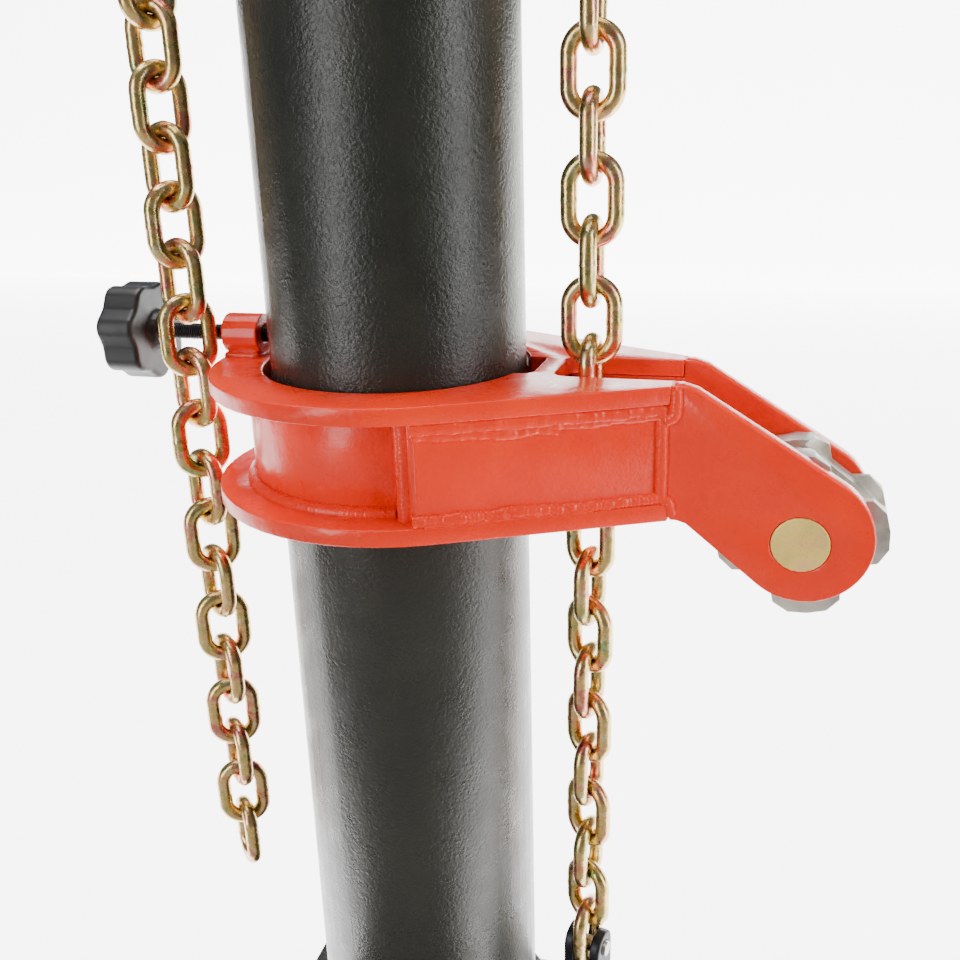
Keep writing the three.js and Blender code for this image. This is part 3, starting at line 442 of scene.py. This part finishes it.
def chainLinks(sizes):
    points, rearAxle = chainRoute(sizes)
    found = []
    index, at, start = -sizes["linksBelow"], 0, points[0]
    tailLeft = sizes["tailLinks"]
    while tailLeft > 0:
        while (points[at + 1] - start).length < sizes["pitch"]:
            at += 1
        inner, outer = points[at], points[at + 1]
        low, high = 0.0, 1.0
        for _ in range(24):
            middle = (low + high) / 2
            if (inner.lerp(outer, middle) - start).length < sizes["pitch"]:
                low = middle
            else:
                high = middle
        end = inner.lerp(outer, high)
        onTail = start.z <= rearAxle and end.z < start.z
        found.append({"centre": (start + end) / 2, "along": (end - start).normalized(), "flat": index % 2 != 0,
                      "tail": onTail})
        tailLeft -= onTail
        start = end
        index += 1
    return found, rearAxle


def linkTurn(link, rearAxle, sizes):
    along, centre = link["along"], link["centre"]
    width = Vector((0, 1, 0)) if link["flat"] else Vector((0, 1, 0)).cross(along)
    width = (width - along * width.dot(along)).normalized()
    twist = lean = 0
    if link["tail"]:
        below = rearAxle - centre.z
        twist = sizes["twistPerMm"] * below
        lean = sizes["tailLean"] * min(1, below / sizes["leanOver"])
    elif centre.z < sizes["collarTop"] and centre.x > 0:
        part = (sizes["collarTop"] - centre.z + sizes["twistFrom"]) / (sizes["twistFrom"] - sizes["twistTo"])
        part = min(1, max(0, part))
        part = part * part * (3 - 2 * part)
        twist, lean = sizes["twist"] * part, sizes["lean"] * part
    width.rotate(Quaternion((0, 0, 1), math.radians(twist + (lean if link["flat"] else -lean))))
    return Matrix((width, along, width.cross(along))).transposed().to_quaternion()


def chainTree():
    tree, given = newTree("welded chain", {
        "Wire": ("Float", 0.0095), "Width": ("Float", 0.0355), "Pitch": ("Float", 0.0327),
        "Seam half": ("Float", 0.002), "Seam rise": ("Float", 0.05),
        "Segments": ("Int", 88), "Sides": ("Int", 14), "Material": ("Material", None)})

    across = add(tree, "ShaderNodeMath", {0: given["Width"], 1: given["Wire"]}, operation="SUBTRACT")
    bend = add(tree, "ShaderNodeMath", {0: across, 1: 0.5}, operation="MULTIPLY")
    tall = add(tree, "ShaderNodeMath", {0: given["Pitch"], 1: given["Wire"]}, operation="ADD")
    reach = add(tree, "ShaderNodeMath", {0: tall, 1: 0.5}, operation="MULTIPLY")
    stretch = add(tree, "ShaderNodeMath", {0: reach, 1: bend}, operation="SUBTRACT")
    ring = add(tree, "GeometryNodeCurvePrimitiveCircle", {"Resolution": 64, "Radius": bend})
    place = add(tree, "ShaderNodeSeparateXYZ", {"Vector": add(tree, "GeometryNodeInputPosition")}).outputs
    # the ring is pulled apart along Y into two straight legs
    half = add(tree, "ShaderNodeMath", {0: place["Y"]}, operation="SIGN")
    pull = add(tree, "ShaderNodeMath", {0: half, 1: stretch}, operation="MULTIPLY")
    pull = add(tree, "ShaderNodeCombineXYZ", {"Y": pull})
    loop = add(tree, "GeometryNodeSetPosition", {"Geometry": ring, "Offset": pull})
    even = add(tree, "GeometryNodeResampleCurve", {"Curve": loop, "Count": given["Segments"]})
    # the wire swells a little at the seam, halfway along one leg
    fromSeam = add(tree, "ShaderNodeMath", {0: place["Y"]}, operation="ABSOLUTE")
    swell = add(tree, "ShaderNodeMapRange", {"Value": fromSeam, "From Min": given["Seam half"], "From Max": 0.0,
                                             "To Min": 0.0, "To Max": given["Seam rise"]},
                interpolation_type="SMOOTHSTEP")
    oneLeg = add(tree, "ShaderNodeMath", {0: place["X"], 1: 0.0}, operation="GREATER_THAN")
    seam = add(tree, "ShaderNodeMath", {0: swell, 1: oneLeg}, operation="MULTIPLY")
    share = add(tree, "ShaderNodeMath", {0: seam, 1: 1.0}, operation="ADD")
    wireHalf = add(tree, "ShaderNodeMath", {0: given["Wire"], 1: 0.5}, operation="MULTIPLY")
    radius = add(tree, "ShaderNodeMath", {0: wireHalf, 1: share}, operation="MULTIPLY")
    link = swept(tree, even, radius, given["Sides"])
    turn = add(tree, "GeometryNodeInputNamedAttribute", {"Name": "turn"}, data_type="QUATERNION")
    links = add(tree, "GeometryNodeInstanceOnPoints", {"Points": given["Geometry"], "Instance": link,
                                                       "Rotation": turn.outputs["Attribute"]})
    closeTree(tree, links, given["Material"])
    return tree


def hangChain(tree, name, links, rearAxle, sizes, node, lift=0.0):
    sides = random.Random(7)
    mesh = bpy.data.meshes.new(name)
    mesh.from_pydata([(link["centre"] + Vector((0, 0, lift))) * mm for link in links], [], [])
    turns = mesh.attributes.new("turn", "QUATERNION", "POINT")
    for link, turn in zip(links, turns.data):
        spin = linkTurn(link, rearAxle, sizes)
        if sides.random() < 0.5:  # the seam is on either leg
            spin = spin @ Quaternion((0, 1, 0), math.pi)
        turn.value = spin
    shaped = grown(tree, mesh, {
        "Wire": sizes["wire"] * mm, "Width": sizes["width"] * mm, "Pitch": sizes["pitch"] * mm,
        "Seam half": sizes["seamHalf"] * mm, "Seam rise": sizes["seamRise"],
        "Segments": sizes["segments"], "Sides": sizes["sides"], "Material": finishes["chain_zinc"]})
    newPiece(name, shaped, finishes["chain_zinc"], bodyOf[node], [node])


links, rearAxle = chainLinks(chainSizes)
linkTree = chainTree()
working = [link for link in links if not link["tail"]]
hangChain(linkTree, "working_chain", working, rearAxle, chainSizes, "chain_working_run")
tail = [link for link in links if link["tail"]]
hangChain(linkTree, "tail_chain", tail, rearAxle, chainSizes, "chain_tail", chainSizes["slack"])
print("chain hung:", len(links), "links")


# weld beads
def weldTree():
    tree, given = newTree("weld bead", {
        "Radius": ("Float", 0.004), "Ripple": ("Float", 0.0025), "Depth": ("Float", 0.1),
        "Wander": ("Float", 0.2), "Lump": ("Float", 0.0004), "Seed": ("Float", 0.0),
        "Material": ("Material", None)})

    place = add(tree, "GeometryNodeInputPosition")

    def unevenness(width):  # wanders between about -1 and 1, each swell this wide in millimetres
        field = add(tree, "ShaderNodeTexNoise", {"Vector": place, "W": given["Seed"], "Scale": 1 / (width * mm),
                                                 "Detail": 2.0}, noise_dimensions="4D")
        centred = add(tree, "ShaderNodeMath", {0: field.outputs["Fac"], 1: 0.5}, operation="SUBTRACT")
        return add(tree, "ShaderNodeMath", {0: centred, 1: 2.0}, operation="MULTIPLY")

    path = add(tree, "GeometryNodeMeshToCurve", {"Mesh": given["Geometry"]})
    even = add(tree, "GeometryNodeResampleCurve", {"Curve": path, "Length": 0.7 * mm}, mode="LENGTH")
    run = add(tree, "GeometryNodeSplineParameter").outputs["Length"]
    phase = add(tree, "ShaderNodeMath", {0: run, 1: math.pi}, operation="MULTIPLY")
    phase = add(tree, "ShaderNodeMath", {0: phase, 1: given["Ripple"]}, operation="DIVIDE")
    wave = add(tree, "ShaderNodeMath", {0: phase}, operation="SINE")
    wave = add(tree, "ShaderNodeMath", {0: wave}, operation="ABSOLUTE")
    ripple = add(tree, "ShaderNodeMath", {0: wave, 1: given["Depth"]}, operation="MULTIPLY")
    drift = add(tree, "ShaderNodeMath", {0: unevenness(11), 1: given["Wander"]}, operation="MULTIPLY")
    swell = add(tree, "ShaderNodeMath", {0: ripple, 1: drift}, operation="ADD")
    share = add(tree, "ShaderNodeMath", {0: swell, 1: 1.0}, operation="ADD")
    radius = add(tree, "ShaderNodeMath", {0: given["Radius"], 1: share}, operation="MULTIPLY")
    run = swept(tree, even, radius, 14)
    lump = add(tree, "ShaderNodeMath", {0: unevenness(3.5), 1: given["Lump"]}, operation="MULTIPLY")
    outward = add(tree, "GeometryNodeInputNormal")
    push = add(tree, "ShaderNodeVectorMath", {0: outward, "Scale": lump}, operation="SCALE")
    rough = add(tree, "GeometryNodeSetPosition", {"Geometry": run, "Offset": push})
    closeTree(tree, rough, given["Material"])
    return tree


beadTree = weldTree()
beadSeeds = itertools.count(1)
seedStep = 3.7  # far enough apart that no two beads wander alike


def bead(name, body, slot, paths, radius, ripple=2.4, depth=0.10, wander=0.18, lump=0.35, closed=False):
    # paths are lists of points in millimetres; depth and wander are shares of the bead's radius
    mesh = bpy.data.meshes.new(name)
    points, edges = [], []
    for path in paths:
        first = len(points)
        points += [Vector(point) * mm for point in path]
        edges += [(i, i + 1) for i in range(first, len(points) - 1)]
        if closed:
            edges.append((len(points) - 1, first))
    mesh.from_pydata(points, edges, [])
    shaped = grown(beadTree, mesh, {
        "Radius": radius * mm, "Ripple": ripple * mm, "Depth": depth, "Wander": wander,
        "Lump": lump * mm, "Seed": next(beadSeeds) * seedStep, "Material": weldPaint[slot]})
    return newPiece(name, shaped, weldPaint[slot], body)


def arc(centre, radius, fromAngle, toAngle, height, steps=48):
    turns = [math.radians(fromAngle + (toAngle - fromAngle) * i / steps) for i in range(steps + 1)]
    return [(centre[0] + radius * math.cos(a), centre[1] + radius * math.sin(a), height) for a in turns]


def mirrored(path):
    return [(x, -y, z) for x, y, z in path]


collarWelds = {"offset": -1.4, "taper": 27.6, "outer": 107.5, "web": 89, "webOpen": 70, "cheekFace": 36,
               "plateFrom": -9, "plateTo": 127.3, "heel": 166.15, "prongInner": 24.6, "prongSeam": 1.05,
               "cornerX": 34.2, "cornerY": 88.4}


def weldCollar(sizes):
    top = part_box("collar_top_flange")[1].z / mm
    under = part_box("collar_top_flange")[0].z / mm
    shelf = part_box("collar_bottom_flange")[1].z / mm
    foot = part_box("collar_bottom_flange")[0].z / mm
    taper = math.radians(sizes["taper"])
    wander = random.Random(11)

    def onPlate(distance, run, height):
        return (sizes["offset"] + math.sin(taper) * distance + math.cos(taper) * run,
                -math.cos(taper) * distance + math.sin(taper) * run, height)

    def wavy(distance, fromRun, toRun, height, step, sway):
        count = int((toRun - fromRun) / step)
        return [onPlate(distance, fromRun + (toRun - fromRun) * i / count, height + wander.uniform(-sway, sway))
                for i in range(count + 1)]

    start, stop = sizes["plateFrom"], sizes["plateTo"]
    outer, face = sizes["outer"], -sizes["cheekFace"]
    for side, flip in (("near", lambda path: path), ("far", mirrored)):
        def lay(name, path, radius, **how):
            bead("weld_" + name + "_" + side, "collar", "orange_paint", [flip(path)], radius, **how)
        lay("top_heavy", wavy(outer - 1.6, start + 1, stop + 4, under - 3.6, 9, 0.5), 4.6,
            wander=0.16, depth=0.02, lump=0.7)
        lay("top_run", wavy(outer - 1.2, start + 2, stop * 0.55, under - 8.2, 11, 1.4), 3.6,
            wander=0.35, depth=0.02, lump=0.9)
        lay("top_end", wavy(outer - 1.4, stop * 0.5, stop + 2, under - 6.4, 12, 0.8), 3.6,
            wander=0.3, depth=0.02, lump=0.9)
        lay("bottom", wavy(outer - 0.6, start, stop + 3, shelf + 2.4, 8, 0.6), 3.7,
            wander=0.3, depth=0.06, lump=0.9)
        lay("bottom_lip", wavy(outer + 1.6, start + 6, stop * 0.7, shelf + 0.2, 9, 0.3), 1.6,
            wander=0.5, depth=0.05, lump=0.6)
        x, y, _ = onPlate(outer, stop, 0)
        lay("plate_end", [(x + 0.6, face + 0.2, shelf + 1), (x + 0.3, face, under - 4)], 3.4,
            wander=0.1, depth=0.04)
        heel = sizes["heel"]
        lay("prong_top", [(heel - 3, face - 0.2, under - 9), (heel, face - 0.3, under - 8),
                          (heel + 2.2, face + 0.3, under - 5), (heel + 2.6, face + 0.5, under + 2),
                          (heel + 2.2, face + 0.8, top - 1.6)], 3.4, wander=0.12)
        lay("prong_foot", [(heel - 4, face - 0.4, shelf + 2), (heel, face, shelf + 1),
                           (heel + 1.6, face + 0.6, foot + 3)], 3.0, wander=0.15)
        seam = top - sizes["prongSeam"]
        lay("prong_seam", [(heel, face - 1.0, seam), (heel, -sizes["prongInner"], seam)], 1.1,
            wander=0.05, lump=0.1)
        corner = (sizes["cornerX"], -sizes["cornerY"])
        lay("web_corner", [(*corner, shelf - 1), (*corner, under + 1)], 5.6, wander=0.08, depth=0.03)
    open_ = sizes["webOpen"]
    centre = (sizes["offset"], 0)
    bead("weld_web_foot", "collar", "orange_paint",
         [arc(centre, sizes["web"] + 0.8, open_ + 2, 358 - open_, shelf + 0.8, 90)], 4.2, wander=0.12, depth=0.06)
    bead("weld_web_top", "collar", "orange_paint",
         [arc(centre, sizes["web"] + 0.4, open_ + 2, 358 - open_, under - 0.4, 90)], 2.8, wander=0.15, depth=0.06)


weldCollar(collarWelds)
print("collar welded")


def weldFoot(sizes):
    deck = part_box("base_plate")[1].z / mm
    seam = arc((0, 0), sizes["columnRadius"] + 1, 0, 356, deck + 1.2, 120)
    bead("weld_column_foot", "root", "column_paint", [seam], sizes["footBead"], closed=True)
    paths = []
    for k in range(4):
        low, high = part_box("base_gusset_%d" % (k + 1))
        middle = (low + high) / 2
        out = Vector((middle.x, middle.y, 0)).normalized()
        side = Vector((-out.y, out.x, 0))
        for hand in (-1, 1):
            edge = side * hand * (sizes["gussetHalf"] + sizes["gap"])
            rise = Vector((0, 0, deck + sizes["gap"]))
            paths.append([out * (sizes["columnRadius"] + 5) + edge + rise, out * sizes["gussetReach"] + edge + rise])
            tall = Vector((0, 0, high.z / mm - 4))
            paths.append([out * (sizes["columnRadius"] + 0.6) + edge + rise * 1.3,
                          out * (sizes["columnRadius"] + 0.6) + edge + tall])
    bead("weld_gussets", "root", "column_paint", paths, sizes["gussetBead"])


footWelds = {"columnRadius": 76, "footBead": 4.6, "gussetHalf": 5, "gussetReach": 134, "gussetBead": 3.0, "gap": 0.8}
weldFoot(footWelds)


def weldHead(sizes):
    socket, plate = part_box("head_socket"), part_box("head_plate")
    under, deck = plate[0].z / mm, plate[1].z / mm
    radius = (socket[1].x - socket[0].x) / 2 / mm
    bead("weld_head_socket", "ram_head", "orange_paint", [arc((0, 0), radius + sizes["gap"], 0, 356, under - 1, 90)],
         sizes["socketBead"], closed=True)
    paths = []
    for node in ("head_cheek_near", "head_cheek_far"):
        low, high = (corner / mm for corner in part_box(node))
        start, stop = plate[0].x / mm + sizes["short"], plate[1].x / mm - sizes["short"]
        for face in (low.y - 0.6, high.y + 0.6):
            paths.append([(start, face, deck + sizes["gap"]), (stop, face, deck + sizes["gap"])])
    bead("weld_head_cheeks", "ram_head", "orange_paint", paths, sizes["cheekBead"])
    low, high = (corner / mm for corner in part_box("head_chain_grab"))
    paths = [[(x, low.y + 3, deck + 0.6), (x, high.y - 3, deck + 0.6)] for x in (low.x - 0.5, high.x + 0.5)]
    bead("weld_chain_grab", "ram_head", "orange_paint", paths, sizes["grabBead"])


headWelds = {"gap": 0.8, "short": 4, "socketBead": 4.0, "cheekBead": 3.0, "grabBead": 2.4}
weldHead(headWelds)
print("foot and head welded")

# clamp: screw thread, boss, knob
clampSizes = {"pitch": 1.5, "core": 4.25, "ridge": 0.86, "chamfer": 1.2}


def threadTree():
    tree, given = newTree("screw thread", {
        "Length": ("Float", 0.08), "Pitch": ("Float", 0.0015), "Core": ("Float", 0.0042),
        "Ridge": ("Float", 0.0009), "Material": ("Material", None)})

    turns = add(tree, "ShaderNodeMath", {0: given["Length"], 1: given["Pitch"]}, operation="DIVIDE")
    helix = add(tree, "GeometryNodeCurveSpiral", {"Resolution": 24, "Rotations": turns, "Start Radius": given["Core"],
                                                  "End Radius": given["Core"], "Height": given["Length"]})
    ridge = swept(tree, helix, given["Ridge"], 4)
    core = add(tree, "GeometryNodeMeshCylinder", {"Vertices": 32, "Radius": given["Core"], "Depth": given["Length"]})
    half = add(tree, "ShaderNodeMath", {0: given["Length"], 1: 0.5}, operation="MULTIPLY")
    half = add(tree, "ShaderNodeCombineXYZ", {"Z": half})
    raised = add(tree, "GeometryNodeTransform", {"Geometry": core, "Translation": half}).outputs["Geometry"]
    both = add(tree, "GeometryNodeJoinGeometry", {"Geometry": ridge})
    tree.links.new(raised, both.inputs["Geometry"])
    closeTree(tree, both.outputs["Geometry"], given["Material"])
    return tree


def makeScrew(sizes):
    low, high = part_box("clamp_screw")
    chamfer = sizes["chamfer"] * mm
    mesh = grown(threadTree(), bpy.data.meshes.new("screw"), {
        "Length": high.x - low.x - 2 * chamfer, "Pitch": sizes["pitch"] * mm, "Core": sizes["core"] * mm,
        "Ridge": sizes["ridge"] * mm, "Material": finishes["black_steel"]})
    middle = (low.z + high.z) / 2
    mesh.transform(Matrix.Translation((low.x + chamfer, 0, middle)) @ Matrix.Rotation(math.pi / 2, 4, "Y"))
    newPiece("clamp_screw_threaded", mesh, finishes["black_steel"], bodyOf["clamp_screw"], ["clamp_screw"])


makeScrew(clampSizes)


# A forging or casting: the CAD copy turned to a fine skin and its corners worn round
def softened(node, voxel, passes, name, edge=0.0):
    piece = bare(node + "_raw", cleanCopy(node))
    if edge:
        bevel = piece.modifiers.new("edges", "BEVEL")
        bevel.width = edge * mm
        bevel.segments = 3
        bevel.limit_method = "ANGLE"
        bevel.angle_limit = sharpAngle
    skin = piece.modifiers.new("skin", "REMESH")
    skin.mode = "VOXEL"
    skin.voxel_size = voxel * mm
    skin.use_smooth_shade = True
    worn = piece.modifiers.new("worn", "SMOOTH")
    worn.factor = 0.5
    worn.iterations = passes
    return newPiece(name, applied(piece), finishes[slotOf[node]], bodyOf[node], [node])


softened("collar_screw_boss", 0.55, 10, "screw_boss_rounded")
softened("clamp_knob", 0.6, 14, "star_knob", edge=2.5)
softened("chain_hook", 0.7, 26, "hook_forged")
low, high = (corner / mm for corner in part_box("collar_screw_boss"))
bossFoot = {"halfWidth": 9.3, "inset": 2, "front": 1.6, "seat": 600.6}
left, right = low.x + bossFoot["inset"], high.x - bossFoot["inset"]
side, seat = bossFoot["halfWidth"], bossFoot["seat"]
corners = [(left, -side, seat), (right, -side, seat), (high.x - bossFoot["front"], side, seat), (left, side, seat)]
bead("weld_boss", "collar", "orange_paint", [corners], 2.2, depth=0.05, closed=True)
print("clamp and hook made")

# studio: a pale floor, a white glowing sweep behind it, a tall soft light each side and one above
studioSizes = {"floor": 12, "mat": ("#ABAAA6", "#B4B3AF"), "white": ("#F4F4F3", "#F2F2F1"),
               "skyColour": "#E4E8EE", "sky": 0.28, "sweepFrom": -0.14, "backY": 4.0, "backHeight": 1.4,
               "halfSweep": 4.6, "glow": 6.0}
lamps = [
    # name, place, aimed at, width, height, watts
    ("left window", (-1.35, -2.1, 1.0), (0, 0, 0.6), 0.6, 2.4, 48),
    ("right window", (2.3, -0.7, 1.2), (0, 0, 0.6), 0.6, 2.4, 48),
    ("ceiling", (-0.3, 0.2, 2.7), (0, 0, 0.5), 1.8, 1.8, 80),
]


def stageSheet(name, corners, tones, glow):
    mesh = bpy.data.meshes.new(name)
    mesh.from_pydata(corners, [], [(0, 1, 2, 3)])
    sheet = bare(name, mesh)
    material, tree, bsdf, place = newMaterial(name, Roughness=0.7, Emission_Strength=glow)
    cloud = add(tree, "ShaderNodeTexNoise", {"Vector": place, "Scale": 1 / (500 * mm), "Detail": 3})
    tone = add(tree, "ShaderNodeValToRGB", {"Fac": cloud}, stops=[(0.3, tones[0]), (0.7, tones[1])])
    tree.links.new(tone.outputs[0], bsdf.inputs["Base Color"])
    bsdf.inputs["Emission Color"].default_value = linear(tones[0])
    mesh.materials.append(material)


def makeStudio(sizes):
    half, start, back, rise = sizes["floor"] / 2, sizes["sweepFrom"], sizes["backY"], sizes["backHeight"]
    wide, glow = sizes["halfSweep"], sizes["glow"]
    stageSheet("pale floor", [(-half, -half, 0), (half, -half, 0), (half, start, 0), (-half, start, 0)],
               sizes["mat"], 0.0)
    stageSheet("white sweep floor", [(-wide, start, 0), (wide, start, 0), (wide, back, 0), (-wide, back, 0)],
               sizes["white"], glow)
    stageSheet("white sweep wall", [(-wide, back, 0), (wide, back, 0), (wide, back, rise), (-wide, back, rise)],
               sizes["white"], glow)
    world = bpy.context.scene.world or bpy.data.worlds.new("studio")
    bpy.context.scene.world = world
    world.use_nodes = True
    background = world.node_tree.nodes["Background"]
    background.inputs["Color"].default_value = linear(sizes["skyColour"])
    background.inputs["Strength"].default_value = sizes["sky"]
    for name, place, aim, width, height, watts in lamps:
        data = bpy.data.lights.new(name, "AREA")
        data.shape = "RECTANGLE"
        data.size, data.size_y, data.energy = width, height, watts
        lamp = bpy.data.objects.new(name, data)
        lamp.location = place
        lamp.rotation_euler = (Vector(aim) - Vector(place)).to_track_quat("-Z", "Y").to_euler()
        collection.objects.link(lamp)


makeStudio(studioSizes)
print("studio lit")
